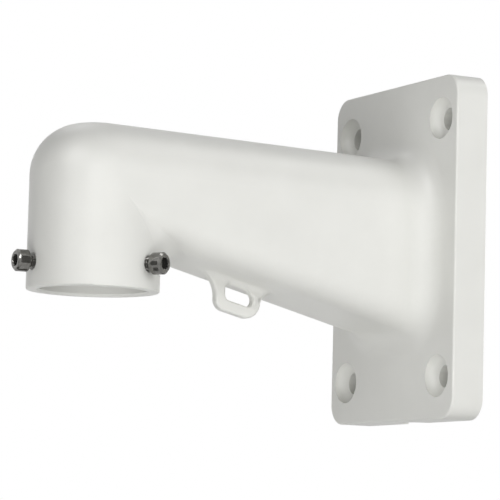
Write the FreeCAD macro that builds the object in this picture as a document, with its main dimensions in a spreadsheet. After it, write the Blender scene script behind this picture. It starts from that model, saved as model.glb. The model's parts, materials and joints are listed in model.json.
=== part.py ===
import FreeCAD, Part
import math
import os
from types import SimpleNamespace

import Sketcher

# A wall bracket for a hanging dome camera: one hollow light-metal casting with a wall plate, an arm, a
# round collar and a tether lug, and three socket-head screws that clamp the camera's pipe in the collar.
# Millimetres. The origin is the centre of the plate's wall face, +Z is up, +Y goes into the wall, and
# the arm reaches out towards -Y.

# Driving dimensions
DIMENSIONS = {
    # wall plate
    "plate_width": 110.0,
    "plate_height": 160.0,
    "plate_depth": 16.5,
    "plate_corner": 10.0,
    "plate_edge": 1.0,
    "plate_skin": 5.0,
    "rim_wall": 5.0,
    "pocket_corner": 6.0,
    "notch_width": 18.0,
    # wall bolt holes, each with a round seat for the bolt's head
    "bolt_pitch_across": 82.0,
    "bolt_pitch_up": 120.0,
    "bolt_hole": 10.5,
    "bolt_seat": 19.6,
    "bolt_seat_depth": 5.0,
    "bolt_seat_round": 4.3,
    "bolt_boss": 26.0,
    # arm, with the heights of its top and underside taken from the plate's centre
    "arm_reach": 173.0,
    "arm_top_at_head": 46.6,
    "arm_top_at_wall": 42.6,
    "arm_under_at_head": 1.4,
    "arm_under_at_wall": 39.6,
    "arm_width_at_wall": 66.0,
    "arm_round_top": 23.5,
    "arm_round_under": 15.0,
    "arm_wall": 5.0,
    "root_cove": 12.0,
    # collar at the arm's end
    "collar_outer": 60.0,
    "collar_bore": 48.7,
    "collar_drop": 28.7,
    "collar_edge": 0.8,
    "bore_bevel": 1.0,
    "throat_blend": 10.0,
    # tether lug under the arm, set back from the collar's axis, with its eye
    "lug_thick": 5.0,
    "lug_from_collar": 61.4,
    "lug_length": 23.1,
    "lug_depth": 15.9,
    "lug_corner_front": 5.5,
    "lug_corner_rear": 7.0,
    "lug_root_front": 11.0,
    "lug_root_rear": 4.0,
    "lug_edge": 1.2,
    "eye_length": 14.6,
    "eye_height": 9.6,
    "eye_corner": 2.8,
    "eye_corner_high_rear": 5.5,
    "eye_inset": 4.8,
    "eye_depth": 0.7,
    "eye_edge": 1.0,
    # clamp screws
    "screw_thread": 6.0,
    "screw_length": 8.0,
    "screw_head": 10.0,
    "screw_head_height": 6.0,
    "screw_head_bevel": 0.9,
    "screw_tip_bevel": 0.6,
    "screw_socket": 5.0,
    "screw_socket_depth": 3.0,
    "screw_above_foot": 11.4,
    "screw_tip_gap": 0.05,
    "screw_clearance": 0.05,
    "screw_sink": 8.0,
}
# The screws stand at even steps round the collar, the first at the front
SCREW_NAMES = ("clamp_screw_front", "clamp_screw_right", "clamp_screw_left")
FULL_TURN = 360.0
HALF_TURN = 180.0
QUARTER_TURN = 90.0
# How far a solid that is joined to another reaches into it, how far its blend's ends dip into the skin,
# and how far a cutting shape runs past the face that it opens
EMBED = 2.5
DIP = 0.05
OVERRUN = 1.0
BLEND_STEPS = 12
BLEND_HALF_SWEEP = 84.0
SKIN_STEP = 0.05
TOUCH = 1e-3

# A sketch's own numbers for the points of an edge, for its two axes and for its origin
START, END, CENTRE = range(1, 4)
H_AXIS, V_AXIS = range(-1, -3, -1)
ORIGIN = (H_AXIS, START)

document = FreeCAD.newDocument("camera_wall_bracket")
sheet = document.addObject("Spreadsheet::Sheet", "Dimensions")
for row, (alias, value) in enumerate(DIMENSIONS.items(), start=1):
    sheet.set(f"A{row}", alias)
    sheet.set(f"B{row}", str(value))
    sheet.setAlias(f"B{row}", alias)
document.recompute()


class Size:
    """A number together with the expression over the sheet's cells that gives it."""

    def __init__(self, number, text):
        self.number = number
        self.text = text

    def __add__(self, other):
        other = as_size(other)
        return Size(self.number + other.number, f"({self.text} + {other.text})")

    def __sub__(self, other):
        other = as_size(other)
        return Size(self.number - other.number, f"({self.text} - {other.text})")

    def __mul__(self, other):
        other = as_size(other)
        return Size(self.number * other.number, f"({self.text} * {other.text})")

    def __truediv__(self, other):
        other = as_size(other)
        return Size(self.number / other.number, f"({self.text} / {other.text})")

    def __neg__(self):
        return Size(-self.number, f"(0 - {self.text})")


def as_size(amount):
    return amount if isinstance(amount, Size) else Size(float(amount), str(float(amount)))


size = SimpleNamespace(
    **{alias: Size(float(sheet.get(alias)), f"Dimensions.{alias}") for alias in DIMENSIONS}
)


def bind(feature, prop, amount):
    """Ties a property of a feature to the sheet."""
    feature.setExpression(prop, as_size(amount).text)


def add_body(name):
    body = document.addObject("PartDesign::Body", name)
    body.Label = name
    return body


def origin_feature(body, role):
    return next(feature for feature in body.Origin.OriginFeatures if feature.Role == role)


def add_sketch(body, name, plane, across=0, up=0, out=0):
    """A sketch on one of the body's own planes, with its origin moved along the sketch's three axes."""
    sketch = body.newObject("Sketcher::SketchObject", name)
    sketch.AttachmentSupport = [(origin_feature(body, plane), "")]
    sketch.MapMode = "FlatFace"
    offsets = [as_size(amount) for amount in (across, up, out)]
    sketch.AttachmentOffset = FreeCAD.Placement(
        FreeCAD.Vector(*(offset.number for offset in offsets)), FreeCAD.Rotation()
    )
    for axis, offset in zip("xyz", offsets):
        bind(sketch, f"AttachmentOffset.Base.{axis}", offset)
    return sketch


def tie(sketch, kind, *references):
    return sketch.addConstraint(Sketcher.Constraint(kind, *references))


def measure(sketch, kind, references, amount):
    """A driving dimension of a sketch, tied to the sheet."""
    amount = as_size(amount)
    index = tie(sketch, kind, *references, amount.number)
    bind(sketch, f"Constraints[{index}]", amount)


def place(sketch, axis, point, amount):
    """Ties one coordinate of a sketch's point, X or Y, to the sheet."""
    amount = as_size(amount)
    if abs(amount.number) < TOUCH:
        tie(sketch, "PointOnObject", *point, V_AXIS if axis == "X" else H_AXIS)
    elif amount.number > 0:
        measure(sketch, f"Distance{axis}", (*ORIGIN, *point), amount)
    else:
        measure(sketch, f"Distance{axis}", (*point, *ORIGIN), -amount)


def add_line(sketch, start, end, construction=False):
    segment = Part.LineSegment(FreeCAD.Vector(*start, 0), FreeCAD.Vector(*end, 0))
    return sketch.addGeometry(segment, construction)


def add_arc(sketch, centre, radius, first, last):
    """An anticlockwise arc, with its angles in radians."""
    circle = Part.Circle(FreeCAD.Vector(*centre, 0), FreeCAD.Vector(0, 0, 1), radius)
    return sketch.addGeometry(Part.ArcOfCircle(circle, first, last), False)


def direction(start, end):
    length = math.dist(start, end)
    return ((end[0] - start[0]) / length, (end[1] - start[1]) / length)


def round_corner(sketch, before, corner, after, radius):
    """The arc that rounds a corner between two straight stretches, with the two points where it meets
    them and the arc's ends in the order of travel."""
    arriving, leaving = direction(before, corner), direction(corner, after)
    cross = arriving[0] * leaving[1] - arriving[1] * leaving[0]
    dot = arriving[0] * leaving[0] + arriving[1] * leaving[1]
    side = math.copysign(1.0, cross)
    setback = radius * math.tan(math.atan2(abs(cross), dot) / 2)
    first = (corner[0] - setback * arriving[0], corner[1] - setback * arriving[1])
    last = (corner[0] + setback * leaving[0], corner[1] + setback * leaving[1])
    centre = (first[0] - side * radius * arriving[1], first[1] + side * radius * arriving[0])
    angles = [math.atan2(point[1] - centre[1], point[0] - centre[0]) for point in (first, last)]
    if side < 0:
        angles.reverse()
    arc = add_arc(sketch, centre, radius, *angles)
    ends = (START, END) if side > 0 else (END, START)
    return arc, first, last, ends


def draw_loop(sketch, corners, radii):
    """A closed outline of straight stretches with some corners rounded, joined up. Gives its lines, in
    order from the first corner, and its arcs by the number of their corner."""
    count = len(corners)
    arcs = {}
    leaves, arrives = dict(enumerate(corners)), dict(enumerate(corners))
    for index, radius in enumerate(radii):
        if radius is not None:
            before, after = corners[index - 1], corners[(index + 1) % count]
            arc, first, last, ends = round_corner(sketch, before, corners[index], after, radius.number)
            arcs[index] = (arc, ends)
            arrives[index], leaves[index] = first, last
    lines = [add_line(sketch, leaves[n], arrives[(n + 1) % count]) for n in range(count)]
    for index in range(count):
        before, after = lines[index - 1], lines[index]
        if index in arcs:
            arc, ends = arcs[index]
            tie(sketch, "Tangent", before, END, arc, ends[0])
            tie(sketch, "Tangent", arc, ends[1], after, START)
            measure(sketch, "Radius", (arc,), radii[index])
        else:
            tie(sketch, "Coincident", before, END, after, START)
    return lines, arcs


def outline(sketch, *corners):
    """A closed outline through corners (across, up) or (across, up, radius). Its stretches are level,
    upright or, between two sharp corners, slanted."""
    points = [(as_size(corner[0]), as_size(corner[1])) for corner in corners]
    radii = [as_size(corner[2]) if len(corner) > 2 else None for corner in corners]
    lines, _ = draw_loop(sketch, [(x.number, y.number) for x, y in points], radii)
    count = len(points)
    kinds = []
    for index, edge in enumerate(lines):
        here, following = points[index], points[(index + 1) % count]
        if here[1].text == following[1].text:
            tie(sketch, "Horizontal", edge)
            place(sketch, "Y", (edge, START), here[1])
            kinds.append("level")
        elif here[0].text == following[0].text:
            tie(sketch, "Vertical", edge)
            place(sketch, "X", (edge, START), here[0])
            kinds.append("upright")
        else:
            kinds.append("slanted")
    for index in range(count):
        beside = (kinds[index - 1], kinds[index])
        if "slanted" in beside:
            if "upright" not in beside:
                place(sketch, "X", (lines[index], START), points[index][0])
            if "level" not in beside:
                place(sketch, "Y", (lines[index], START), points[index][1])
    return sketch


def extrude(body, kind, name, sketch, length, symmetric=False, backwards=False):
    """A Pad or a Pocket."""
    feature = body.newObject(f"PartDesign::{kind}", name)
    feature.Profile = sketch
    feature.SideType = "Symmetric" if symmetric else "One side"
    feature.Reversed = backwards
    bind(feature, "Length", length)
    return feature


def turn(body, kind, name, sketch, axis, angle=FULL_TURN):
    """A Revolution or a Groove about one of its sketch's own axes, even on both sides of the sketch."""
    feature = body.newObject(f"PartDesign::{kind}", name)
    feature.Profile = sketch
    feature.ReferenceAxis = (sketch, [axis])
    feature.Angle = angle
    feature.Midplane = angle < FULL_TURN
    return feature


def blend_through(body, kind, name, first, last):
    """A straight AdditiveLoft or SubtractiveLoft between two sketches."""
    feature = body.newObject(f"PartDesign::{kind}", name)
    feature.Profile = first
    feature.Sections = [last]
    feature.Ruled = True
    return feature


def mirror_to_bolts(body, feature):
    """Copies a feature at the upper right bolt to the other three."""
    pattern = body.newObject("PartDesign::MultiTransform", f"{feature.Name}_at_each")
    pattern.Originals = [feature]
    mirrors = []
    for name, role in (("across", "YZ_Plane"), ("down", "XY_Plane")):
        mirror = body.newObject("PartDesign::Mirrored", f"{feature.Name}_{name}")
        mirror.MirrorPlane = (origin_feature(body, role), [""])
        mirrors.append(mirror)
    pattern.Transformations = mirrors
    body.Tip = pattern
    return pattern


def round_edges(body, name, chosen, radius):
    """Rounds those edges of the body as it stands that a test picks out."""
    document.recompute()
    tip = body.Tip
    names = [f"Edge{n}" for n, edge in enumerate(tip.Shape.Edges, start=1) if chosen(edge.BoundBox)]
    feature = body.newObject("PartDesign::Fillet", name)
    feature.Base = (tip, names)
    bind(feature, "Radius", radius)
    return feature


def lies_at(low, high, spot):
    """Whether a stretch is a single spot, to a thousandth."""
    return abs(low - spot) < TOUCH and abs(high - spot) < TOUCH


def within(low, high, first, last):
    return low > first - TOUCH and high < last + TOUCH


# Plate
UP = size.plate_height / 2
ACROSS = size.plate_width / 2
BOLT_ACROSS = size.bolt_pitch_across / 2
BOLT_UP = size.bolt_pitch_up / 2
POCKET_DEPTH = size.plate_depth - size.plate_skin
POCKET_ACROSS = ACROSS - size.rim_wall
POCKET_UP = UP - size.rim_wall


def add_plate(body):
    sketch = add_sketch(body, "plate_outline", "XZ_Plane")
    corner = size.plate_corner
    outline(
        sketch,
        (-ACROSS, -UP, corner),
        (ACROSS, -UP, corner),
        (ACROSS, UP, corner),
        (-ACROSS, UP, corner),
    )
    extrude(body, "Pad", "plate", sketch, size.plate_depth)
    front = -size.plate_depth.number
    round_edges(
        body, "plate_front_round", lambda box: lies_at(box.YMin, box.YMax, front), size.plate_edge
    )


def cut_plate_back(body):
    """The open back, with a solid pad left round each bolt hole and rounded to it."""
    corner = size.pocket_corner
    sketch = add_sketch(body, "back_outline", "XZ_Plane")
    outline(
        sketch,
        (-POCKET_ACROSS, -POCKET_UP, corner),
        (POCKET_ACROSS, -POCKET_UP, corner),
        (POCKET_ACROSS, POCKET_UP, corner),
        (-POCKET_ACROSS, POCKET_UP, corner),
    )
    extrude(body, "Pocket", "back_pocket", sketch, POCKET_DEPTH, backwards=True)
    document.recompute()
    boss = size.bolt_boss / 2
    pad_left, pad_low = BOLT_ACROSS - boss, BOLT_UP - boss
    pad_right, pad_high = ACROSS - size.rim_wall / 2, UP - size.rim_wall / 2
    sketch = add_sketch(body, "bolt_pad_outline", "XZ_Plane")
    outline(
        sketch,
        (pad_left, pad_low, boss),
        (pad_right, pad_low),
        (pad_right, pad_high, corner),
        (pad_left, pad_high),
    )
    pad = extrude(body, "Pad", "bolt_pad", sketch, POCKET_DEPTH)
    mirror_to_bolts(body, pad)
    spots = (
        (POCKET_ACROSS.number, pad_low.number),
        (pad_left.number, POCKET_UP.number),
    )

    def is_pad_corner(box):
        runs_along_y = box.XLength < TOUCH and box.ZLength < TOUCH
        at = (abs(box.XMin), abs(box.ZMin))
        return runs_along_y and any(math.dist(at, spot) < TOUCH for spot in spots)

    round_edges(body, "bolt_pad_rounds", is_pad_corner, corner)


def cut_bolt_holes(body):
    """A hole with a flat seat for the bolt's head, turned about the bolt's own axis."""
    sketch = add_sketch(body, "bolt_hole_outline", "YZ_Plane", up=BOLT_UP, out=BOLT_ACROSS)
    front = -size.plate_depth
    floor = front + size.bolt_seat_depth
    outline(
        sketch,
        (front - OVERRUN, 0),
        (OVERRUN, 0),
        (OVERRUN, size.bolt_hole / 2),
        (floor, size.bolt_hole / 2),
        (floor, size.bolt_seat / 2, size.bolt_seat_round),
        (front - OVERRUN, size.bolt_seat / 2),
    )
    hole = turn(body, "Groove", "bolt_hole", sketch, "H_Axis")
    mirror_to_bolts(body, hole)


def cut_cable_notch(body):
    """A half-round way for a cable along the wall, through the lower rim."""
    sketch = add_sketch(body, "notch_outline", "XY_Plane", out=-UP - OVERRUN)
    circle = sketch.addGeometry(Part.Circle(FreeCAD.Vector(), FreeCAD.Vector(0, 0, 1), 1.0), False)
    tie(sketch, "Coincident", circle, CENTRE, *ORIGIN)
    measure(sketch, "Diameter", (circle,), size.notch_width)
    extrude(body, "Pocket", "cable_notch", sketch, size.rim_wall + OVERRUN * 2, backwards=True)


# Arm. Its section is a box with large rounds, given by half its width, its lowest and highest levels
# and its two radii, at the collar's axis and at the plate's front. The core inside follows it.
ARM_LENGTH = size.arm_reach - size.plate_depth
SKIN_AT_HEAD = SimpleNamespace(
    half=size.collar_outer / 2,
    low=-size.arm_under_at_head,
    high=size.arm_top_at_head,
    round_low=size.arm_round_under,
    round_high=size.arm_round_top,
)
SKIN_AT_PLATE = SimpleNamespace(
    half=size.arm_width_at_wall / 2,
    low=-size.arm_under_at_wall,
    high=size.arm_top_at_wall,
    round_low=size.arm_round_under,
    round_high=size.arm_round_top,
)


def inside(section, half):
    """The core's section within a section of the skin."""
    return SimpleNamespace(
        half=half,
        low=section.low + size.arm_wall,
        high=section.high - size.arm_wall,
        round_low=section.round_low - size.arm_wall,
        round_high=section.round_high - size.arm_wall,
    )


CORE_AT_HEAD = inside(SKIN_AT_HEAD, size.collar_bore / 2)
CORE_AT_PLATE = inside(SKIN_AT_PLATE, SKIN_AT_PLATE.half - size.arm_wall)


def carried_on(at_head, at_plate):
    """A measure of the core that runs on in a straight line from the plate's front to its wall face."""
    return at_plate + (at_plate - at_head) * size.plate_depth / ARM_LENGTH


CORE_AT_WALL = SimpleNamespace(
    half=carried_on(CORE_AT_HEAD.half, CORE_AT_PLATE.half),
    low=carried_on(CORE_AT_HEAD.low, CORE_AT_PLATE.low),
    high=carried_on(CORE_AT_HEAD.high, CORE_AT_PLATE.high),
    round_low=CORE_AT_PLATE.round_low,
    round_high=CORE_AT_PLATE.round_high,
)


def add_section(body, name, section, distance):
    """The arm's section in an upright plane at a distance from the wall."""
    sketch = add_sketch(body, name, "XZ_Plane", out=distance)
    return outline(
        sketch,
        (-section.half, section.low, section.round_low),
        (section.half, section.low, section.round_low),
        (section.half, section.high, section.round_high),
        (-section.half, section.high, section.round_high),
    )


def add_head_sketch(body, name):
    """A sketch in the upright plane through the arm's middle, with its up axis on the collar's."""
    return add_sketch(body, name, "YZ_Plane", across=-size.arm_reach)


def add_arm(body):
    head = add_section(body, "arm_at_head", SKIN_AT_HEAD, size.arm_reach)
    plate = add_section(body, "arm_at_plate", SKIN_AT_PLATE, size.plate_depth)
    blend_through(body, "AdditiveLoft", "arm", head, plate)


def add_head(body):
    """The collar, a plain ring up to where the arm's flanks start, and the round end of the arm above
    it, whose outline from the wall is the arm's own section."""
    level = SKIN_AT_HEAD.low + SKIN_AT_HEAD.round_low
    sketch = add_head_sketch(body, "collar_outline")
    outline(
        sketch,
        (-SKIN_AT_HEAD.half, -size.collar_drop, size.collar_edge),
        (0, -size.collar_drop),
        (0, level),
        (-SKIN_AT_HEAD.half, level),
    )
    turn(body, "Revolution", "collar", sketch, "V_Axis")
    document.recompute()
    sketch = add_head_sketch(body, "crown_outline")
    outline(
        sketch,
        (-SKIN_AT_HEAD.half, level),
        (0, level),
        (0, SKIN_AT_HEAD.high),
        (-SKIN_AT_HEAD.half, SKIN_AT_HEAD.high, SKIN_AT_HEAD.round_high),
    )
    turn(body, "Revolution", "crown", sketch, "V_Axis", HALF_TURN)


def add_root_cove(body):
    """The hollow round where the arm meets the plate."""
    front = -size.plate_depth.number
    half, low, high = SKIN_AT_PLATE.half.number, SKIN_AT_PLATE.low.number, SKIN_AT_PLATE.high.number

    def is_root(box):
        in_outline = within(box.XMin, box.XMax, -half, half) and within(box.ZMin, box.ZMax, low, high)
        return lies_at(box.YMin, box.YMax, front) and in_outline

    round_edges(body, "root_cove", is_root, size.root_cove)


def cut_core(body):
    """The hollow for the cable: down through the collar, and back along the arm through the plate."""
    level = CORE_AT_HEAD.low + CORE_AT_HEAD.round_low
    foot = -size.collar_drop
    bore = CORE_AT_HEAD.half
    sketch = add_head_sketch(body, "collar_core_outline")
    outline(
        sketch,
        (-bore - size.bore_bevel - OVERRUN, foot - OVERRUN),
        (0, foot - OVERRUN),
        (0, level),
        (-bore, level),
        (-bore, foot + size.bore_bevel),
    )
    turn(body, "Groove", "collar_core", sketch, "V_Axis")
    document.recompute()
    sketch = add_head_sketch(body, "crown_core_outline")
    outline(
        sketch,
        (-bore, level),
        (0, level),
        (0, CORE_AT_HEAD.high),
        (-bore, CORE_AT_HEAD.high, CORE_AT_HEAD.round_high),
    )
    turn(body, "Groove", "crown_core", sketch, "V_Axis", HALF_TURN)
    document.recompute()
    head = add_section(body, "core_at_head", CORE_AT_HEAD, size.arm_reach)
    wall = add_section(body, "core_at_wall", CORE_AT_WALL, 0)
    blend_through(body, "SubtractiveLoft", "arm_core", head, wall)
    floor = -POCKET_DEPTH.number
    half, low, high = CORE_AT_WALL.half.number, CORE_AT_WALL.low.number, CORE_AT_PLATE.high.number

    def is_mouth(box):
        in_outline = within(box.XMin, box.XMax, -half, half) and within(box.ZMin, box.ZMax, low, high)
        return lies_at(box.YMin, box.YMax, floor) and in_outline

    round_edges(body, "core_mouth_round", is_mouth, size.root_cove + size.arm_wall)


def cut_screw_holes(body):
    """Three radial holes through the collar, each opening out at the skin."""
    height = -size.collar_drop + size.screw_above_foot
    sketch = add_sketch(body, "screw_hole_outline", "YZ_Plane", across=-size.arm_reach, up=height)
    hole = size.screw_thread / 2 + size.screw_clearance
    skin = SKIN_AT_HEAD.half
    mouth = size.screw_sink / 2
    outline(
        sketch,
        (-skin - OVERRUN, 0),
        (-CORE_AT_HEAD.half + OVERRUN, 0),
        (-CORE_AT_HEAD.half + OVERRUN, hole),
        (-skin + mouth - hole, hole),
        (-skin - OVERRUN, mouth + OVERRUN),
    )
    groove = turn(body, "Groove", "screw_hole", sketch, "H_Axis")
    pattern = body.newObject("PartDesign::PolarPattern", "screw_holes")
    pattern.Originals = [groove]
    pattern.Axis = (sketch, ["V_Axis"])
    pattern.Angle = FULL_TURN
    pattern.Occurrences = len(SCREW_NAMES)
    body.Tip = pattern


def add_casting_body():
    body = add_body("casting_body")
    add_plate(body)
    add_arm(body)
    document.recompute()
    add_head(body)
    add_root_cove(body)
    document.recompute()
    cut_plate_back(body)
    document.recompute()
    cut_core(body)
    document.recompute()
    cut_bolt_holes(body)
    cut_cable_notch(body)
    document.recompute()
    cut_screw_holes(body)
    document.recompute()
    return body


# Blend between the collar and the arm's underside: in each upright plane through the collar's axis, the
# round that a ball would leave as it rolls in the corner, lofted from one flank round to the other.
def share_along(distance_along):
    return distance_along / ARM_LENGTH.number


def arm_skin(azimuth):
    """Points (distance from the collar's axis, height) on the arm's underside and flank, in the upright
    plane through the collar's axis that stands at an azimuth from the arm's direction."""
    corner = SKIN_AT_HEAD.round_low.number
    collar = SKIN_AT_HEAD.half.number
    points = []
    distance = collar / 2
    while distance < 2 * collar:
        share = share_along(distance * math.cos(azimuth))
        half = collar + (SKIN_AT_PLATE.half.number - collar) * share
        low = SKIN_AT_HEAD.low.number + (SKIN_AT_PLATE.low.number - SKIN_AT_HEAD.low.number) * share
        across = distance * math.sin(azimuth)
        if across >= half:
            points.append((distance, low + corner))
            points.append((distance, low + 2 * corner))
            break
        beyond = max(across - (half - corner), 0.0)
        points.append((distance, low + corner - math.sqrt(corner**2 - beyond**2)))
        distance += SKIN_STEP
    return points


def nearest(centre, points):
    """The shortest distance from a centre to a run of points, and where it ends."""
    best = (math.inf, centre)
    for start, end in zip(points, points[1:]):
        run = (end[0] - start[0], end[1] - start[1])
        along = (centre[0] - start[0]) * run[0] + (centre[1] - start[1]) * run[1]
        share = max(0.0, min(1.0, along / (run[0] ** 2 + run[1] ** 2)))
        point = (start[0] + share * run[0], start[1] + share * run[1])
        best = min(best, (math.dist(centre, point), point))
    return best


def seat_ball(points, across, radius):
    """The height at which a ball beside the collar touches the arm's skin from below."""
    collar = SKIN_AT_HEAD.half.number
    low = -2 * size.collar_drop.number
    high = min(points, key=lambda point: abs(point[0] - collar))[1]
    while high - low > TOUCH**2:
        middle = (low + high) / 2
        if nearest((across, middle), points)[0] > radius:
            low = middle
        else:
            high = middle
    return low


def throat_wire(azimuth):
    """One section of the blend: the ball's arc in front, and straight sides sunk in the two walls."""
    points = arm_skin(abs(azimuth))
    collar = SKIN_AT_HEAD.half.number
    radius = size.throat_blend.number
    across = collar + radius - DIP
    height = seat_ball(points, across, radius - DIP)
    distance, touch = nearest((across, height), points)
    towards = ((touch[0] - across) / distance, (touch[1] - height) / distance)
    last_angle = math.atan2(towards[1], towards[0]) % (2 * math.pi)
    middle_angle = (math.pi + last_angle) / 2
    on_collar = (across - radius, height)
    middle = (across + radius * math.cos(middle_angle), height + radius * math.sin(middle_angle))
    on_arm = (across + radius * towards[0], height + radius * towards[1])
    in_collar = collar - EMBED
    in_arm = (max(on_arm[0] + EMBED * towards[0], in_collar + DIP * 10), on_arm[1] + EMBED * towards[1])

    def in_space(point):
        return FreeCAD.Vector(
            point[0] * math.sin(azimuth),
            point[0] * math.cos(azimuth) - size.arm_reach.number,
            point[1],
        )

    corners = [on_arm, in_arm, (in_collar, in_arm[1]), (in_collar, height), on_collar]
    sides = [Part.makeLine(in_space(a), in_space(b)) for a, b in zip(corners, corners[1:])]
    arc = Part.Arc(in_space(on_collar), in_space(middle), in_space(on_arm)).toShape()
    return Part.Wire([arc, *sides])


def add_throat_blend():
    blend = document.addObject("Part::Feature", "throat_blend")
    blend.Label = "throat_blend"
    steps = range(-BLEND_STEPS, BLEND_STEPS + 1)
    sweep = math.radians(BLEND_HALF_SWEEP)
    blend.Shape = Part.makeLoft([throat_wire(sweep * step / BLEND_STEPS) for step in steps], True, False)
    blend.Placement = FreeCAD.Placement()
    return blend


# Tether lug
LUG_FRONT = size.lug_from_collar - size.arm_reach
LUG_REAR = LUG_FRONT + size.lug_length


def underside_at(distance):
    """The height of the arm's underside at a place along Y, as a plain number."""
    share = share_along(distance + size.arm_reach.number)
    return SKIN_AT_HEAD.low.number + (SKIN_AT_PLATE.low.number - SKIN_AT_HEAD.low.number) * share


def add_underside(sketch, sunk):
    """The arm's underside as a construction line, sunk into the wall by a small amount."""
    ends = ((-size.arm_reach, SKIN_AT_HEAD.low + sunk), (-size.plate_depth, SKIN_AT_PLATE.low + sunk))
    edge = add_line(sketch, *[(x.number, y.number) for x, y in ends], construction=True)
    for point, (x, y) in zip((START, END), ends):
        place(sketch, "X", (edge, point), x)
        place(sketch, "Y", (edge, point), y)
    return edge


def hang_line(sketch, underside, edge, depth, sunk):
    """Keeps a line parallel to the underside and at a depth straight below it."""
    tie(sketch, "Parallel", underside, edge)
    middle = (LUG_REAR + LUG_FRONT) / 2
    top = underside_at(middle.number)
    plumb = add_line(
        sketch,
        (middle.number, top + sunk),
        (middle.number, top - depth.number),
        construction=True,
    )
    tie(sketch, "Vertical", plumb)
    tie(sketch, "PointOnObject", plumb, START, underside)
    tie(sketch, "PointOnObject", plumb, END, edge)
    place(sketch, "X", (plumb, START), middle)
    measure(sketch, "Distance", (plumb,), depth + sunk)


def add_lug_outline(body):
    """A tab with rounded lower corners that runs into the underside in two hollow rounds."""
    sketch = add_sketch(body, "lug_outline", "YZ_Plane")
    underside = add_underside(sketch, DIP)
    slope = math.atan2(underside_at(1.0) - underside_at(0.0), 1.0)
    normal = (-math.sin(slope), math.cos(slope))
    front, rear = LUG_FRONT.number, LUG_REAR.number
    roots = []
    for edge_at, side, radius in (
        (front, -1.0, size.lug_root_front.number),
        (rear, 1.0, size.lug_root_rear.number),
    ):
        across = edge_at + side * radius
        centre = (across, underside_at(across) + DIP - radius / math.cos(slope))
        touch = (centre[0] + radius * normal[0], centre[1] + radius * normal[1])
        roots.append((centre, touch, (edge_at, centre[1])))
    (front_centre, front_touch, front_foot), (rear_centre, rear_touch, rear_foot) = roots
    tilt = math.pi / 2 + slope
    front_root = add_arc(sketch, front_centre, size.lug_root_front.number, 0.0, tilt)
    rear_root = add_arc(sketch, rear_centre, size.lug_root_rear.number, tilt, math.pi)
    low_front = (front, underside_at(front) - size.lug_depth.number)
    low_rear = (rear, underside_at(rear) - size.lug_depth.number)
    front_corner, first, second, _ = round_corner(
        sketch, front_foot, low_front, low_rear, size.lug_corner_front.number
    )
    rear_corner, third, fourth, _ = round_corner(
        sketch, low_front, low_rear, rear_foot, size.lug_corner_rear.number
    )
    front_edge = add_line(sketch, front_foot, first)
    bottom = add_line(sketch, second, third)
    rear_edge = add_line(sketch, fourth, rear_foot)
    raised = [(point[0], point[1] + EMBED) for point in (rear_touch, front_touch)]
    rear_rise = add_line(sketch, rear_touch, raised[0])
    ridge = add_line(sketch, *raised)
    front_rise = add_line(sketch, raised[1], front_touch)
    for edge, at in ((front_edge, LUG_FRONT), (rear_edge, LUG_REAR)):
        tie(sketch, "Vertical", edge)
        place(sketch, "X", (edge, START), at)
    for joint in (
        (front_root, START, front_edge, START),
        (front_edge, END, front_corner, START),
        (front_corner, END, bottom, START),
        (bottom, END, rear_corner, START),
        (rear_corner, END, rear_edge, START),
        (rear_edge, END, rear_root, END),
    ):
        tie(sketch, "Tangent", *joint)
    hang_line(sketch, underside, bottom, size.lug_depth, DIP)
    tie(sketch, "Tangent", front_root, END, underside)
    tie(sketch, "Tangent", rear_root, START, underside)
    for arc, radius in (
        (front_root, size.lug_root_front),
        (rear_root, size.lug_root_rear),
        (front_corner, size.lug_corner_front),
        (rear_corner, size.lug_corner_rear),
    ):
        measure(sketch, "Radius", (arc,), radius)
    for joint in (
        (rear_root, START, rear_rise, START),
        (rear_rise, END, ridge, START),
        (ridge, END, front_rise, START),
        (front_rise, END, front_root, END),
    ):
        tie(sketch, "Coincident", *joint)
    tie(sketch, "Vertical", rear_rise)
    tie(sketch, "Vertical", front_rise)
    tie(sketch, "Parallel", underside, ridge)
    measure(sketch, "Distance", (rear_rise,), EMBED)
    return sketch


def add_eye_outline(body):
    """The eye has upright ends, and its long sides follow the underside."""
    sketch = add_sketch(body, "eye_outline", "YZ_Plane")
    underside = add_underside(sketch, 0)
    front = LUG_FRONT + size.eye_inset
    rear = front + size.eye_length
    bottom = size.eye_depth + size.eye_height
    corners = [
        (front.number, underside_at(front.number) - bottom.number),
        (rear.number, underside_at(rear.number) - bottom.number),
        (rear.number, underside_at(rear.number) - size.eye_depth.number),
        (front.number, underside_at(front.number) - size.eye_depth.number),
    ]
    radii = [size.eye_corner, size.eye_corner, size.eye_corner_high_rear, size.eye_corner]
    lines, _ = draw_loop(sketch, corners, radii)
    for edge, at in ((lines[1], rear), (lines[3], front)):
        tie(sketch, "Vertical", edge)
        place(sketch, "X", (edge, START), at)
    hang_line(sketch, underside, lines[0], bottom, 0)
    hang_line(sketch, underside, lines[2], size.eye_depth, 0)
    return sketch


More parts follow.
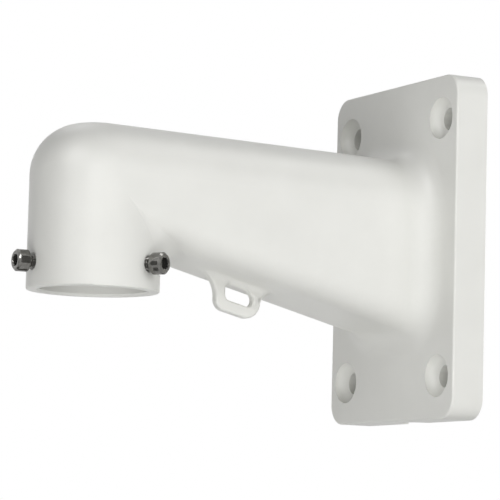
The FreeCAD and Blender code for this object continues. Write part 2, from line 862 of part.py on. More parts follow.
def add_tether_lug():
    body = add_body("tether_lug")
    extrude(body, "Pad", "lug", add_lug_outline(body), size.lug_thick, symmetric=True)
    document.recompute()
    half = size.lug_thick.number / 2

    def on_side_face(box):
        return lies_at(box.XMin, box.XMax, half) or lies_at(box.XMin, box.XMax, -half)

    def is_soft_edge(box):
        middle = box.Center
        return on_side_face(box) and middle.z < underside_at(middle.y) - TOUCH

    round_edges(body, "lug_rounds", is_soft_edge, size.lug_edge)
    document.recompute()
    extrude(
        body, "Pocket", "eye", add_eye_outline(body), size.lug_thick + OVERRUN * 2, symmetric=True
    )
    front = (LUG_FRONT + size.eye_inset).number
    rear = front + size.eye_length.number
    lowest = underside_at(rear) - size.eye_depth.number - size.eye_height.number

    def is_eye_edge(box):
        in_eye = within(box.YMin, box.YMax, front, rear) and box.ZMin > lowest - TOUCH
        return on_side_face(box) and in_eye and box.Center.z < underside_at(box.Center.y) - TOUCH

    round_edges(body, "eye_rounds", is_eye_edge, size.eye_edge)
    document.recompute()
    return body


def add_bracket_casting():
    """The one casting: its hollow body, the lug below the arm and the blend at the throat."""
    casting = document.addObject("Part::MultiFuse", "bracket_casting")
    casting.Label = "bracket_casting"
    casting.Shapes = [add_casting_body(), add_tether_lug(), add_throat_blend()]
    casting.Refine = True
    casting.Placement = FreeCAD.Placement()
    return casting


def add_clamp_screw(name, angle):
    """A socket-head cap screw. Its own origin is the centre of the head's underside, +Z outwards."""
    body = add_body(name)
    thread, head = size.screw_thread / 2, size.screw_head / 2
    top = size.screw_head_height
    sketch = add_sketch(body, f"{name}_outline", "XZ_Plane")
    outline(
        sketch,
        (0, -size.screw_length),
        (thread - size.screw_tip_bevel, -size.screw_length),
        (thread, -size.screw_length + size.screw_tip_bevel),
        (thread, 0),
        (head, 0),
        (head, top - size.screw_head_bevel),
        (head - size.screw_head_bevel, top),
        (0, top),
    )
    turn(body, "Revolution", f"{name}_turned", sketch, "V_Axis")
    document.recompute()
    add_hex_socket(body, name, top)
    place_screw(body, angle)
    return body


def add_hex_socket(body, name, top):
    sides = 6
    sketch = add_sketch(body, f"{name}_socket_outline", "XY_Plane", out=top)
    step = 2 * math.pi / sides
    radius = size.screw_socket / 2 / math.cos(step / 2)
    corners = [
        (radius.number * math.cos(step * side), radius.number * math.sin(step * side))
        for side in range(sides)
    ]
    lines, _ = draw_loop(sketch, corners, [None] * sides)
    rim = sketch.addGeometry(
        Part.Circle(FreeCAD.Vector(), FreeCAD.Vector(0, 0, 1), radius.number), True
    )
    tie(sketch, "Coincident", rim, CENTRE, *ORIGIN)
    measure(sketch, "Radius", (rim,), radius)
    for edge in lines:
        tie(sketch, "PointOnObject", edge, START, rim)
    for edge in lines[1:]:
        tie(sketch, "Equal", lines[0], edge)
    tie(sketch, "PointOnObject", lines[0], START, H_AXIS)
    extrude(body, "Pocket", f"{name}_socket", sketch, size.screw_socket_depth)


def place_screw(body, angle):
    """Stands a screw in its hole, with its tip just short of the bore."""
    seat = size.collar_bore / 2 + size.screw_tip_gap + size.screw_length
    body.Placement = FreeCAD.Placement(
        FreeCAD.Vector(),
        FreeCAD.Rotation(FreeCAD.Vector(0, 0, 1), angle)
        * FreeCAD.Rotation(FreeCAD.Vector(1, 0, 0), QUARTER_TURN),
    )
    radians = math.radians(angle)
    bind(body, "Placement.Base.x", seat * math.sin(radians))
    bind(body, "Placement.Base.y", -size.arm_reach - seat * math.cos(radians))
    bind(body, "Placement.Base.z", -size.collar_drop + size.screw_above_foot)


def check(parts):
    """Stops before anything is written if any feature or shape has failed."""
    for feature in document.Objects:
        if {"Invalid", "Error"} & set(feature.State):
            raise RuntimeError(f"{feature.Name} failed: {feature.State}")
    for part in parts:
        if part.Shape.isNull() or not part.Shape.isValid():
            raise RuntimeError(f"{part.Label} has no valid shape")
        if len(part.Shape.Solids) != 1:
            raise RuntimeError(f"{part.Label} has {len(part.Shape.Solids)} solids")


parts = [add_bracket_casting()]
for number, name in enumerate(SCREW_NAMES):
    parts.append(add_clamp_screw(name, FULL_TURN * number / len(SCREW_NAMES)))
document.recompute()
check(parts)
os.makedirs("parts", exist_ok=True)
for part in parts:
    part.Shape.exportStep(os.path.join("parts", f"{part.Label}.step"))
    print(part.Label, round(part.Shape.Volume, 1), len(part.Shape.Faces))
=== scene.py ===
import json
import math

import bmesh
import bpy
from mathutils import Matrix, Vector


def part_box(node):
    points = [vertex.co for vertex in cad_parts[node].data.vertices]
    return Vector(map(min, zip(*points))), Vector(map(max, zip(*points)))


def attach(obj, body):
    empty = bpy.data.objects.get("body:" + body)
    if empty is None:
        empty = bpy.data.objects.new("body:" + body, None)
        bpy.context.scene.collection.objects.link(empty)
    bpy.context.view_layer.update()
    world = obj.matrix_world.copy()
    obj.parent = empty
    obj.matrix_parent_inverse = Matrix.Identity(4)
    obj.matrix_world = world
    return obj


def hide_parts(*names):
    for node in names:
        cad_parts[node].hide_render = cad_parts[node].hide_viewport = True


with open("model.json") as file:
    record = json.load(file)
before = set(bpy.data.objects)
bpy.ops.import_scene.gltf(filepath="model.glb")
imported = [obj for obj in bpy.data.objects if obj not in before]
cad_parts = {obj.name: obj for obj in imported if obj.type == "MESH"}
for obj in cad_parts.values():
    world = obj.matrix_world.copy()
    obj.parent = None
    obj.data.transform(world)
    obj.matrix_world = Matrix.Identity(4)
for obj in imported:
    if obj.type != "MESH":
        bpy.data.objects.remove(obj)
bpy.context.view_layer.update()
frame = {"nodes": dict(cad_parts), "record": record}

# A wall bracket for a hanging dome camera, in metres, in the frame of its CAD model. The origin is the
# centre of the plate's wall face, +Z is up and the arm reaches out towards -Y.

MM = 0.001
MOUNTS = {mount["name"]: mount for mount in frame["record"]["mounts"]}

# Camera, fitted to the photograph's outlines, with its sensor and lens in millimetres
VIEW_AZIMUTH = 61.56
VIEW_ELEVATION = -6.25
VIEW_ROLL = 1.48
VIEW_DISTANCE = 1.2928
VIEW_CENTRE = (0.0, -0.100, -0.00444)
VIEW_SIDESTEP = 0.00577
SENSOR_WIDTH = 36.0
LENS = 201.888
CLIP_NEAR = 0.05
CLIP_FAR = 40.0

# Lamps that light the part but show in nothing: azimuth, elevation and power
STAGE_CENTRE = (0.0, -0.090, 0.0)
LAMP_DISTANCE = 1.1
LAMP_WIDTH = 0.7
LAMPS = {
    "lamp_under_front": (30.0, -40.0, 2.17),
    "lamp_front": (30.0, -10.0, 1.59),
    "lamp_side": (90.0, 15.0, 1.61),
    "lamp_side_low": (75.0, -25.0, 3.57),
    "lamp_wall_side": (120.0, 15.0, 3.08),
    "lamp_high": (60.0, 40.0, 2.24),
    "lamp_behind": (215.0, 15.0, 5.0),
    "lamp_left": (-90.0, 10.0, 4.0),
}

# Lamps that only reflections show: azimuth, elevation, width, height and power
GLINT_LAMPS = {
    "glint_front": (19.0, 33.0, 0.22, 0.85, 4.4),
    "glint_camera": (59.0, 12.0, 0.25, 0.25, 1.3),
    "glint_high": (148.0, 56.0, 0.45, 0.45, 1.6),
    "glint_left": (-90.0, 53.0, 0.45, 0.45, 1.2),
}

# Dark cards that only reflections show: azimuth, elevation, width and height
CARD_DISTANCE = 1.0
CARDS = {
    "dark_card_side": (124.0, 8.0, 0.9, 1.4),
    "dark_card_front": (-6.0, -2.0, 0.7, 0.6),
    "dark_card_behind": (216.0, -56.0, 0.7, 0.5),
    "dark_card_low": (-23.0, -50.0, 0.5, 0.4),
}

# Even light, floor and background
WORLD_LIGHT = 0.15
WHITE = (1.0, 1.0, 1.0, 1.0)
FLOOR_LEVEL = -1.1
FLOOR_HALF = 12.0
FLOOR_WHITE_NEAR = 0.7
FLOOR_FADE_END = 8.0

# Shades just inside the wall end of the bolt holes, which keep light from behind out of them, in
# millimetres
SHADE_RADIUS = 4.6
SHADE_DEPTH = 0.3
SHADE_SIDES = 32

# Edges that bend by more than this angle are shaded sharp
SHARP_ANGLE = 40.0

# Finishes. A noise is given by its scale, in waves a metre, and by its detail.
PAINT = {
    "light": (0.80, 0.80, 0.765, 1.0),
    "dark": (0.77, 0.77, 0.735, 1.0),
    "metallic": 0.0,
    "mottle_noise": (38.0, 3.0),
    "mottle_ends": (0.3, 0.7),
    "gloss_noise": (160.0, 4.0),
    "roughness_ends": (0.36, 0.48),
    "relief_noise": (950.0, 2.0),
    "relief_depth": 0.04 * MM,
    "relief_strength": 0.5,
}
STEEL = {
    "light": (0.22, 0.216, 0.204, 1.0),
    "dark": (0.15, 0.147, 0.139, 1.0),
    "metallic": 0.85,
    "mottle_noise": (700.0, 3.0),
    "mottle_ends": (0.35, 0.65),
    "gloss_noise": (1500.0, 3.0),
    "roughness_ends": (0.07, 0.17),
    "relief_noise": (2500.0, 4.0),
    "relief_depth": 0.01 * MM,
    "relief_strength": 0.4,
}
FLOOR_COLOUR = (0.82, 0.82, 0.81, 1.0)
CARD_COLOUR = (0.16, 0.16, 0.15, 1.0)
MATT_ROUGHNESS = 0.9

# Clamp screws: the body that each one rides, and its angle round the collar
SCREWS = {
    "clamp_screw_front": ("front_screw", 0.0),
    "clamp_screw_right": ("right_screw", 120.0),
    "clamp_screw_left": ("left_screw", 240.0),
}

# Sizes of a screw in millimetres, with the centre of its head's underside as the origin. It stays a
# little inside the CAD screw that it stands for.
SCREW_INSET = 0.02
HEAD_RADIUS = 5.0 - SCREW_INSET
HEAD_HEIGHT = 6.0 - SCREW_INSET
HEAD_BEVEL = 0.85
HEAD_FOOT_BEVEL = 0.35
SHANK_LENGTH = 8.0 - SCREW_INSET
THREAD_RADIUS = 3.0 - SCREW_INSET
THREAD_ROOT = 2.42
THREAD_PITCH = 1.0
THREAD_STEPS = 12
NECK = 0.7
TIP_BEVEL = 0.6
SOCKET_CORNERS = 6
SOCKET_APOTHEM = 2.5
SOCKET_DEPTH = 3.0
SOCKET_CONE = 0.7
SOCKET_LEAD = 2.92
SOCKET_LEAD_SLOPE = 0.58
SOCKET_MOUTH_GROWTH = 0.02
SOCKET_MOUTH_HEIGHT = 0.05
SOCKET_FLOOR_DIP = 0.02
EDGE_ROUND = 0.12
EDGE_STEPS = 4
SCREW_SIDES = 96

# Shares of the thread's pitch, of the tip's radius and of the socket's apothem
THREAD_CREST_SHARE = 0.1
THREAD_FLANK_SHARE = 5 / 12
TIP_RING_SHARES = (0.3, 0.7, 1.0)
SOCKET_FLOOR_SHARE = 0.9

# Directions in a screw's profile, in degrees
OUTWARDS = 0.0
UPWARDS = 90.0
INWARDS = 180.0
DOWNWARDS = -90.0
BEVEL_TILT = 45.0

# Where the front screw's head rests, from the frame
FRONT_SCREW_LOW, FRONT_SCREW_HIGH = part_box("clamp_screw_front")
COLLAR_AXIS = (0.0, MOUNTS["collar_bore"]["pos_m"][1], 0.0)
SCREW_SEAT = COLLAR_AXIS[1] - FRONT_SCREW_LOW[1] - MM * (HEAD_HEIGHT + SCREW_INSET)
SCREW_LEVEL = (FRONT_SCREW_LOW[2] + FRONT_SCREW_HIGH[2]) / 2

# Arm's flat underside, by its two ends along Y and Z, in millimetres
UNDERSIDE_FRONT = (-173.0, -1.4)
UNDERSIDE_REAR = (-16.5, -39.6)
LEAN = math.atan2(UNDERSIDE_REAR[1] - UNDERSIDE_FRONT[1], UNDERSIDE_REAR[0] - UNDERSIDE_FRONT[0])
ALONG = Vector((math.cos(LEAN), math.sin(LEAN)))
UPWARD = Vector((-math.sin(LEAN), math.cos(LEAN)))

# Directions along Y
TO_FRONT = -1
TO_REAR = 1

# Lug under the arm, in millimetres: its ends along Y, its hollow roots, and its eye, whose top corners
# and upper rim are made here
LUG_HALF = 2.5
LUG_FRONT = -111.6
LUG_REAR = -88.5
LUG_EDGE = 1.2
ROOT_FRONT = 13.5
ROOT_REAR = 6.5
EYE_FRONT = -106.8
EYE_REAR = -92.2
EYE_CORNER_FRONT = 2.6
EYE_CORNER_REAR = 5.6
EYE_EDGE = 1.6
WEB_DEPTH = 2.9
BEND_STEPS = 12
ARC_STEPS = 8

# Hollow rounds between the lug's two faces and the arm: their radius beside the eye's legs and over the
# eye, the length over which it changes, and how much it grows a millimetre ahead of the lug
BLEND_AT_LEGS = 3.6
BLEND_AT_EYE = 2.3
BLEND_EASE = 4.0
BLEND_GROWTH = 0.35
BLEND_STEPS = 96

# How far the new skin lies inside the lug's faces, runs on past its ends and sinks into the casting
FACE_INSET = 0.015
TAIL = 1.5
SINK = 0.3


def direction_from(azimuth, elevation):
    """The unit vector that points from the part to a viewer or a lamp. Azimuth 0 is on the -Y side."""
    across, up = math.radians(azimuth), math.radians(elevation)
    return Vector(
        (math.sin(across) * math.cos(up), -math.cos(across) * math.cos(up), math.sin(up))
    )


def add_camera():
    back = direction_from(VIEW_AZIMUTH, VIEW_ELEVATION)
    across = math.radians(VIEW_AZIMUTH)
    right = Vector((math.cos(across), math.sin(across), 0.0))
    up = back.cross(right)
    roll = math.radians(VIEW_ROLL)
    rolled_right = math.cos(roll) * right + math.sin(roll) * up
    rolled_up = -math.sin(roll) * right + math.cos(roll) * up
    centre = Vector(VIEW_CENTRE) + VIEW_SIDESTEP * right
    data = bpy.data.cameras.new("camera")
    data.sensor_width = SENSOR_WIDTH
    data.lens = LENS
    data.clip_start = CLIP_NEAR
    data.clip_end = CLIP_FAR
    camera = bpy.data.objects.new("camera", data)
    turn = Matrix((rolled_right, rolled_up, back)).transposed().to_4x4()
    camera.matrix_world = Matrix.Translation(centre + VIEW_DISTANCE * back) @ turn
    bpy.context.scene.collection.objects.link(camera)
    bpy.context.scene.camera = camera


def stand_round_part(thing, azimuth, elevation, distance):
    """Put a lamp or a card at a distance from the part, turned to it."""
    towards = direction_from(azimuth, elevation)
    thing.location = Vector(STAGE_CENTRE) + distance * towards
    thing.rotation_euler = towards.to_track_quat("Z", "Y").to_euler()


def add_lamp(name, azimuth, elevation, width, height, power, only_in_reflections):
    data = bpy.data.lights.new(name, "AREA")
    data.shape = "ELLIPSE"
    data.size = width
    data.size_y = height
    data.energy = power
    lamp = bpy.data.objects.new(name, data)
    lamp.visible_camera = False
    lamp.visible_glossy = only_in_reflections
    lamp.visible_diffuse = not only_in_reflections
    stand_round_part(lamp, azimuth, elevation, LAMP_DISTANCE)
    bpy.context.scene.collection.objects.link(lamp)


def add_lamps():
    for name, (azimuth, elevation, power) in LAMPS.items():
        add_lamp(name, azimuth, elevation, LAMP_WIDTH, LAMP_WIDTH, power, only_in_reflections=False)
    for name, (azimuth, elevation, width, height, power) in GLINT_LAMPS.items():
        add_lamp(name, azimuth, elevation, width, height, power, only_in_reflections=True)


def add_maths(tree, operation, first, second):
    node = tree.nodes.new("ShaderNodeMath")
    node.operation = operation
    tree.links.new(first, node.inputs[0])
    tree.links.new(second, node.inputs[1])
    return node.outputs[0]


def add_seen(tree):
    """1 where the camera, a reflection or clear glass looks, and 0 for the light that falls on things."""
    path = tree.nodes.new("ShaderNodeLightPath").outputs
    seen = add_maths(tree, "MAXIMUM", path["Is Camera Ray"], path["Is Glossy Ray"])
    return add_maths(tree, "MAXIMUM", seen, path["Is Transmission Ray"])


def add_world():
    """Even light on the part, and white wherever the camera or a reflection looks past it."""
    world = bpy.data.worlds.new("studio")
    bpy.context.scene.world = world
    world.use_nodes = True
    nodes, links = world.node_tree.nodes, world.node_tree.links
    nodes.clear()
    output = nodes.new("ShaderNodeOutputWorld")
    mix = nodes.new("ShaderNodeMixShader")
    light = nodes.new("ShaderNodeBackground")
    light.inputs["Color"].default_value = WHITE
    light.inputs["Strength"].default_value = WORLD_LIGHT
    white = nodes.new("ShaderNodeBackground")
    white.inputs["Color"].default_value = WHITE
    links.new(add_seen(world.node_tree), mix.inputs["Fac"])
    links.new(light.outputs[0], mix.inputs[1])
    links.new(white.outputs[0], mix.inputs[2])
    links.new(mix.outputs[0], output.inputs["Surface"])


def new_material(name):
    material = bpy.data.materials.new(name)
    material.use_nodes = True
    tree = material.node_tree
    return material, tree, tree.nodes["Principled BSDF"]


def add_noise(tree, coordinates, scale, detail):
    noise = tree.nodes.new("ShaderNodeTexNoise")
    noise.inputs["Scale"].default_value = scale
    noise.inputs["Detail"].default_value = detail
    tree.links.new(coordinates, noise.inputs["Vector"])
    return noise.outputs["Fac"]


def add_ramp(tree, amount, first, last, low, high):
    ramp = tree.nodes.new("ShaderNodeValToRGB")
    ramp.color_ramp.elements[0].position = low
    ramp.color_ramp.elements[0].color = first
    ramp.color_ramp.elements[1].position = high
    ramp.color_ramp.elements[1].color = last
    tree.links.new(amount, ramp.inputs["Fac"])
    return ramp.outputs["Color"]


def add_range(tree, amount, low, high, full_amount=1.0):
    spread = tree.nodes.new("ShaderNodeMapRange")
    spread.inputs["From Max"].default_value = full_amount
    spread.inputs["To Min"].default_value = low
    spread.inputs["To Max"].default_value = high
    tree.links.new(amount, spread.inputs["Value"])
    return spread.outputs["Result"]


def add_bump(tree, height, depth, strength):
    bump = tree.nodes.new("ShaderNodeBump")
    bump.inputs["Distance"].default_value = depth
    bump.inputs["Strength"].default_value = strength
    tree.links.new(height, bump.inputs["Height"])
    return bump.outputs["Normal"]


def finish_material(name, finish):
    """A surface with a faint mottle, an uneven gloss and a fine, shallow relief."""
    material, tree, shader = new_material(name)
    place = tree.nodes.new("ShaderNodeTexCoord").outputs["Object"]
    mottle = add_noise(tree, place, *finish["mottle_noise"])
    colour = add_ramp(tree, mottle, finish["dark"], finish["light"], *finish["mottle_ends"])
    gloss = add_noise(tree, place, *finish["gloss_noise"])
    roughness = add_range(tree, gloss, *finish["roughness_ends"])
    relief = add_noise(tree, place, *finish["relief_noise"])
    normal = add_bump(tree, relief, finish["relief_depth"], finish["relief_strength"])
    tree.links.new(colour, shader.inputs["Base Color"])
    tree.links.new(roughness, shader.inputs["Roughness"])
    tree.links.new(normal, shader.inputs["Normal"])
    shader.inputs["Metallic"].default_value = finish["metallic"]
    return material


def card_material():
    material, _, shader = new_material("dark_card")
    shader.inputs["Base Color"].default_value = CARD_COLOUR
    shader.inputs["Roughness"].default_value = MATT_ROUGHNESS
    return material


def floor_material():
    """A matt floor that looks pale near the part and fades into the white behind it far away."""
    material, tree, shader = new_material("pale_floor")
    shader.inputs["Base Color"].default_value = FLOOR_COLOUR
    shader.inputs["Roughness"].default_value = MATT_ROUGHNESS
    place = tree.nodes.new("ShaderNodeTexCoord").outputs["Object"]
    distance = tree.nodes.new("ShaderNodeVectorMath")
    distance.operation = "LENGTH"
    tree.links.new(place, distance.inputs[0])
    fade = add_range(tree, distance.outputs["Value"], FLOOR_WHITE_NEAR, 1.0, FLOOR_FADE_END)
    white = tree.nodes.new("ShaderNodeEmission")
    white.inputs["Color"].default_value = WHITE
    mix = tree.nodes.new("ShaderNodeMixShader")
    tree.links.new(add_maths(tree, "MULTIPLY", add_seen(tree), fade), mix.inputs["Fac"])
    tree.links.new(shader.outputs[0], mix.inputs[1])
    tree.links.new(white.outputs[0], mix.inputs[2])
    tree.links.new(mix.outputs[0], tree.nodes["Material Output"].inputs["Surface"])
    return material


def add_skin(shape, loops):
    """A skin over a run of closed loops of as many points each, open at both ends."""
    for lower, upper in zip(loops, loops[1:]):
        for corner in range(len(lower)):
            following = (corner + 1) % len(lower)
            shape.faces.new((lower[corner], lower[following], upper[following], upper[corner]))


def add_closed_skin(shape, loops):
    add_skin(shape, loops)
    shape.faces.new(loops[0])
    shape.faces.new(list(reversed(loops[-1])))


def add_fan(shape, loop, height):
    """Close a loop round the Z axis with a fan from a point on that axis."""
    middle = shape.verts.new((0.0, 0.0, MM * height))
    for corner in range(len(loop)):
        shape.faces.new((middle, loop[corner], loop[(corner + 1) % len(loop)]))


def new_piece(name, shape, material):
    """Turn a shape into an object that is shaded smooth between its sharp edges."""
    mesh = bpy.data.meshes.new(name)
    shape.to_mesh(mesh)
    shape.free()
    for face in mesh.polygons:
        face.use_smooth = True
    mesh.set_sharp_from_angle(angle=math.radians(SHARP_ANGLE))
    mesh.materials.append(material)
    piece = bpy.data.objects.new(name, mesh)
    bpy.context.scene.collection.objects.link(piece)
    return piece


def clamped(value):
    """The value kept between 0 and 1."""
    return min(1.0, max(0.0, value))


def round_ring(radius, height):
    """A ring of the screw, as a function that gives its radius and height at an angle."""
    return lambda angle: (radius, height)


def socket_ring(apothem, height):
    def point(angle):
        sector = 2 * math.pi / SOCKET_CORNERS
        off_middle = (angle % sector) - sector / 2
        return apothem / math.cos(off_middle), height

    return point


def thread_ring(height):
    """A ring across the shank, which dips where it crosses the thread's groove."""

    def point(angle):
        turns = height / THREAD_PITCH + angle / (2 * math.pi)
        from_crest = abs(turns - math.floor(turns) - 0.5)
        dip = clamped((from_crest - THREAD_CREST_SHARE / 2) / THREAD_FLANK_SHARE)
        tip_growth = min(1.0, (height + SHANK_LENGTH) / TIP_BEVEL)
        run_out = clamped((height + NECK) / NECK)
        widest = THREAD_RADIUS - (1.0 - tip_growth) * TIP_BEVEL
        root = THREAD_ROOT + (THREAD_RADIUS - THREAD_ROOT) * run_out
        return min(widest, THREAD_RADIUS - (THREAD_RADIUS - root) * dip), height

    return point


def edge_rings(centre_radius, centre_height, first, last):
    """Rings along one of the small rounds in the screw's profile, from one direction to another."""
    rings = []
    for step in range(EDGE_STEPS + 1):
        angle = math.radians(first + (last - first) * step / EDGE_STEPS)
        radius = centre_radius + EDGE_ROUND * math.cos(angle)
        rings.append(round_ring(radius, centre_height + EDGE_ROUND * math.sin(angle)))
    return rings


def shank_rings():
    """Rings from the screw's tip up its thread to the head."""
    tip = THREAD_RADIUS - TIP_BEVEL
    rings = [round_ring(tip * share, -SHANK_LENGTH) for share in TIP_RING_SHARES]
    count = round((SHANK_LENGTH - NECK / 2) * THREAD_STEPS)
    for step in range(1, count + 1):
        rings.append(thread_ring(-SHANK_LENGTH + step / THREAD_STEPS))
    rings.append(round_ring(THREAD_RADIUS, -2 * EDGE_ROUND))
    rings += edge_rings(THREAD_RADIUS + EDGE_ROUND, -EDGE_ROUND, INWARDS, UPWARDS)
    return rings


def head_rings():
    """Rings from the head's underside up its side and over its top."""
    foot = HEAD_RADIUS - HEAD_FOOT_BEVEL - EDGE_ROUND
    side = HEAD_RADIUS - EDGE_ROUND
    side_low = HEAD_FOOT_BEVEL + EDGE_ROUND / 2
    side_high = HEAD_HEIGHT - HEAD_BEVEL - EDGE_ROUND / 2
    top = HEAD_HEIGHT - EDGE_ROUND
    lead_direction = UPWARDS + math.degrees(math.atan(SOCKET_LEAD_SLOPE))
    rings = [round_ring(foot, 0.0)]
    rings += edge_rings(foot, EDGE_ROUND, DOWNWARDS, -BEVEL_TILT)
    rings += edge_rings(side, side_low, -BEVEL_TILT, OUTWARDS)
    rings += edge_rings(side, side_high, OUTWARDS, BEVEL_TILT)
    rings += edge_rings(HEAD_RADIUS - HEAD_BEVEL - EDGE_ROUND, top, BEVEL_TILT, UPWARDS)
    rings += edge_rings(SOCKET_LEAD + EDGE_ROUND, top, UPWARDS, lead_direction)
    return rings


def socket_rings():
    """Rings from the socket's mouth down to its floor."""
    mouth = HEAD_HEIGHT - SOCKET_LEAD_SLOPE * (SOCKET_LEAD - SOCKET_APOTHEM)
    floor = HEAD_HEIGHT - SOCKET_DEPTH
    return [
        socket_ring(SOCKET_APOTHEM + SOCKET_MOUTH_GROWTH, mouth),
        socket_ring(SOCKET_APOTHEM, mouth - SOCKET_MOUTH_HEIGHT),
        socket_ring(SOCKET_APOTHEM, floor),
        round_ring(SOCKET_APOTHEM * SOCKET_FLOOR_SHARE, floor - SOCKET_FLOOR_DIP),
    ]


def add_screw(name, body, angle, material):
    """A socket-head cap screw with a real thread, closed by its tip and by the socket's floor."""
    shape = bmesh.new()
    loops = []
    for ring in shank_rings() + head_rings() + socket_rings():
        loop = []
        for side in range(SCREW_SIDES):
            turned = 2 * math.pi * side / SCREW_SIDES
            radius, height = ring(turned)
            place = (radius * math.cos(turned), radius * math.sin(turned), height)
            loop.append(shape.verts.new([MM * value for value in place]))
        loops.append(loop)
    add_skin(shape, loops)
    add_fan(shape, list(reversed(loops[0])), -SHANK_LENGTH)
    add_fan(shape, loops[-1], HEAD_HEIGHT - SOCKET_DEPTH - SOCKET_CONE)
    screw = new_piece(f"{name}_detail", shape, material)
    turn = Matrix.Rotation(math.radians(angle), 4, "Z")
    seat = Matrix.Translation((0.0, -SCREW_SEAT, SCREW_LEVEL))
    lay = Matrix.Rotation(math.pi / 2, 4, "X")
    screw.matrix_world = Matrix.Translation(COLLAR_AXIS) @ turn @ seat @ lay
    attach(screw, body)
    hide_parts(name)


def underside_at(along):
    """The height of the arm's underside at a place along Y."""
    return UNDERSIDE_FRONT[1] + math.tan(LEAN) * (along - UNDERSIDE_FRONT[0])


def bend_centre(edge, radius, towards, depth=0.0):
    """The centre of a round between an upright edge and a line at a depth under the arm."""
    along = edge + towards * radius
    return Vector((along, underside_at(along) - (radius + depth) / math.cos(LEAN)))


def bend(centre, radius, first, last):
    """Points round a hollow bend, each with the direction towards its centre."""
    points = []
    for step in range(BEND_STEPS + 1):
        angle = first + (last - first) * step / BEND_STEPS
        facing = Vector((math.cos(angle), math.sin(angle)))
        points.append((centre - radius * facing, facing))
    return points


def with_tails(points):
    """Run a path on at both ends, where it sinks into the casting."""
    (first, first_facing), (last, last_facing) = points[0], points[-1]
    before = (first - points[1][0]).normalized() * TAIL - SINK * first_facing
    after = (last - points[-2][0]).normalized() * TAIL - SINK * last_facing
    return [(first + before, first_facing), *points, (last + after, last_facing)]


def rim_paths():
    """The paths of the lug's rim round its roots and over its eye, each with its edges' radius."""
    from_arm = LEAN - math.pi / 2
    to_front_end = -math.pi
    to_rear_end = 0.0
    front_centre = bend_centre(LUG_FRONT, ROOT_FRONT, TO_FRONT)
    rear_centre = bend_centre(LUG_REAR, ROOT_REAR, TO_REAR)
    eye_front_centre = bend_centre(EYE_FRONT, EYE_CORNER_FRONT, TO_REAR, WEB_DEPTH)
    eye_rear_centre = bend_centre(EYE_REAR, EYE_CORNER_REAR, TO_FRONT, WEB_DEPTH)
    front = bend(front_centre, ROOT_FRONT, from_arm, to_front_end)
    rear = bend(rear_centre, ROOT_REAR, to_rear_end, from_arm)
    eye = bend(eye_front_centre, EYE_CORNER_FRONT, to_rear_end, from_arm)
    eye += bend(eye_rear_centre, EYE_CORNER_REAR, from_arm, to_front_end)
    return (with_tails(front), LUG_EDGE), (with_tails(rear), LUG_EDGE), (with_tails(eye), EYE_EDGE)


def rim_profile(edge):
    """Points (across, set back from the rim) round a section of the lug, with two soft edges."""
    half = LUG_HALF - FACE_INSET
    one_side = [(half, WEB_DEPTH + SINK)]
    for step in range(ARC_STEPS + 1):
        angle = math.pi / 2 * step / ARC_STEPS
        across = half - edge * (1.0 - math.cos(angle))
        one_side.append((across, edge * (1.0 - math.sin(angle))))
    return one_side + [(-across, setback) for across, setback in reversed(one_side)]


def add_rims(shape):
    for path, edge in rim_paths():
        profile = rim_profile(edge)
        loops = []
        for spot, facing in path:
            loop = []
            for across, setback in profile:
                place = spot - setback * facing
                loop.append(shape.verts.new((MM * across, MM * place.x, MM * place.y)))
            loops.append(loop)
        add_closed_skin(shape, loops)


def eye_depth_at(along):
    """How deep the eye's rim lies under the arm at a place along Y."""
    front = EYE_FRONT + EYE_CORNER_FRONT
    rear = EYE_REAR - EYE_CORNER_REAR
    if along < front:
        corner, off = EYE_CORNER_FRONT, front - along
    elif along > rear:
        corner, off = EYE_CORNER_REAR, along - rear
    else:
        return WEB_DEPTH
    if off >= corner:
        return math.inf
    return WEB_DEPTH + corner - math.sqrt(corner**2 - off**2)


def blend_radius(along):
    """The hollow round's radius, smaller over the eye and larger towards the arm's head."""
    into_eye = min(along - EYE_FRONT, EYE_REAR - along)
    share = clamped(into_eye / BLEND_EASE)
    eased = share * share * (3.0 - 2.0 * share)
    ahead = max(0.0, LUG_FRONT - along)
    return BLEND_AT_LEGS + (BLEND_AT_EYE - BLEND_AT_LEGS) * eased + BLEND_GROWTH * ahead


def edge_beside(centre, along, radius):
    """The middle of the lug's rounded edge next to a ball that rolls under the arm, and that edge's
    radius, or none where the ball rests on the lug's face."""
    for end, root, towards in ((LUG_FRONT, ROOT_FRONT, TO_FRONT), (LUG_REAR, ROOT_REAR, TO_REAR)):
        root_centre = bend_centre(end, root, towards)
        outwards = centre - root_centre
        if (centre.x - end) * towards > 0.0 and outwards.length < root + LUG_EDGE:
            return root_centre + (root + LUG_EDGE) * outwards.normalized(), LUG_EDGE
    rise = eye_depth_at(along) - EYE_EDGE
    if radius > rise:
        return centre + (radius - rise) * UPWARD, EYE_EDGE
    return None, 0.0


def blend_section(travel):
    """Points (across, along, height) of the hollow round's section at a distance along the arm."""
    level = UPWARD.dot(Vector((0.0, underside_at(0.0))))
    contact = travel * ALONG + level * UPWARD
    radius = blend_radius(contact.x)
    centre = contact - radius * UPWARD
    spine, edge = edge_beside(centre, contact.x, radius)
    if spine is None:
        ball = Vector((LUG_HALF + radius, centre.x, centre.y))
        to_lug = Vector((-1.0, 0.0, 0.0))
    else:
        gap = (spine - centre).length
        reach = math.sqrt(max(0.0, (radius + edge) ** 2 - gap**2))
        ball = Vector((LUG_HALF - edge + reach, centre.x, centre.y))
        to_lug = (Vector((LUG_HALF - edge, spine.x, spine.y)) - ball).normalized()
    to_arm = Vector((0.0, UPWARD.x, UPWARD.y))
    points = [ball + (radius + SINK) * to_arm]
    for step in range(ARC_STEPS + 1):
        points.append(ball + radius * to_arm.slerp(to_lug, step / ARC_STEPS))
    points.append(ball + (radius + SINK) * to_lug)
    inside = contact + SINK * UPWARD
    points.append(Vector((LUG_HALF - LUG_EDGE - SINK, inside.x, inside.y)))
    return points


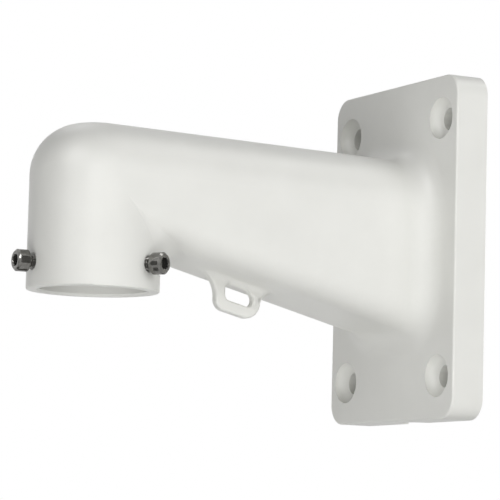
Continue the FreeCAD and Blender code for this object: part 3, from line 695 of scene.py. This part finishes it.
def add_side_blend(shape, side):
    """A closed strip with a hollow face, in the corner between one face of the lug and the arm."""
    start = ALONG.dot(bend_centre(LUG_FRONT, ROOT_FRONT, TO_FRONT))
    end = ALONG.dot(bend_centre(LUG_REAR, ROOT_REAR, TO_REAR))
    loops = []
    for step in range(1, BLEND_STEPS):
        share = (1.0 - math.cos(math.pi * step / BLEND_STEPS)) / 2
        section = blend_section(start + (end - start) * share)
        loops.append(
            [shape.verts.new((MM * side * point.x, MM * point.y, MM * point.z)) for point in section]
        )
    add_closed_skin(shape, loops)


def add_lug_blend(material):
    """What joins the lug to the arm above its eye, so that the paint runs over without a line."""
    shape = bmesh.new()
    add_rims(shape)
    for side in (-1.0, 1.0):
        add_side_blend(shape, side)
    bmesh.ops.recalc_face_normals(shape, faces=shape.faces)
    blend = new_piece("lug_blend", shape, material)
    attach(blend, "bracket")


def dress_casting(material):
    casting = frame["nodes"]["bracket_casting"]
    casting.data.materials.clear()
    casting.data.materials.append(material)


def add_panel(name, corners, material):
    """A flat panel of the stage, facing +Z."""
    shape = bmesh.new()
    shape.faces.new([shape.verts.new((across, up, 0.0)) for across, up in corners])
    panel = new_piece(name, shape, material)
    return panel


def rectangle(half_width, half_height):
    return [(x * half_width, y * half_height) for x, y in ((-1, -1), (1, -1), (1, 1), (-1, 1))]


def add_floor(material):
    floor = add_panel("floor", rectangle(FLOOR_HALF, FLOOR_HALF), material)
    floor.location = (0.0, 0.0, FLOOR_LEVEL)


def add_dark_cards(material):
    """Give the bright screws something dark to reflect, without a shadow."""
    for name, (azimuth, elevation, width, height) in CARDS.items():
        card = add_panel(name, rectangle(width / 2, height / 2), material)
        stand_round_part(card, azimuth, elevation, CARD_DISTANCE)
        card.visible_camera = False
        card.visible_diffuse = False
        card.visible_transmission = False
        card.visible_volume_scatter = False
        card.visible_shadow = False


def add_hole_shades(material):
    """Close each bolt hole to the light from behind with a dark disc that the camera doesn't see."""
    angles = [2 * math.pi * side / SHADE_SIDES for side in range(SHADE_SIDES)]
    radius = MM * SHADE_RADIUS
    rim = [(radius * math.cos(angle), radius * math.sin(angle)) for angle in angles]
    bolts = MOUNTS["wall_bolts"]["dims"]
    places = rectangle(bolts["spacing_x_mm"] / 2, bolts["spacing_y_mm"] / 2)
    for number, (across, up) in enumerate(places, 1):
        shade = add_panel(f"hole_shade_{number}", rim, material)
        shade.location = (MM * across, -MM * SHADE_DEPTH, MM * up)
        shade.rotation_euler = (math.pi / 2, 0.0, 0.0)
        shade.visible_camera = False


bpy.context.scene.view_settings.view_transform = "Standard"
add_camera()
add_lamps()
add_world()
paint = finish_material("painted_casting", PAINT)
dress_casting(paint)
add_lug_blend(paint)
steel = finish_material("screw_steel", STEEL)
for name, (body, angle) in SCREWS.items():
    add_screw(name, body, angle, steel)
add_floor(floor_material())
dark = card_material()
add_dark_cards(dark)
add_hole_shades(dark)
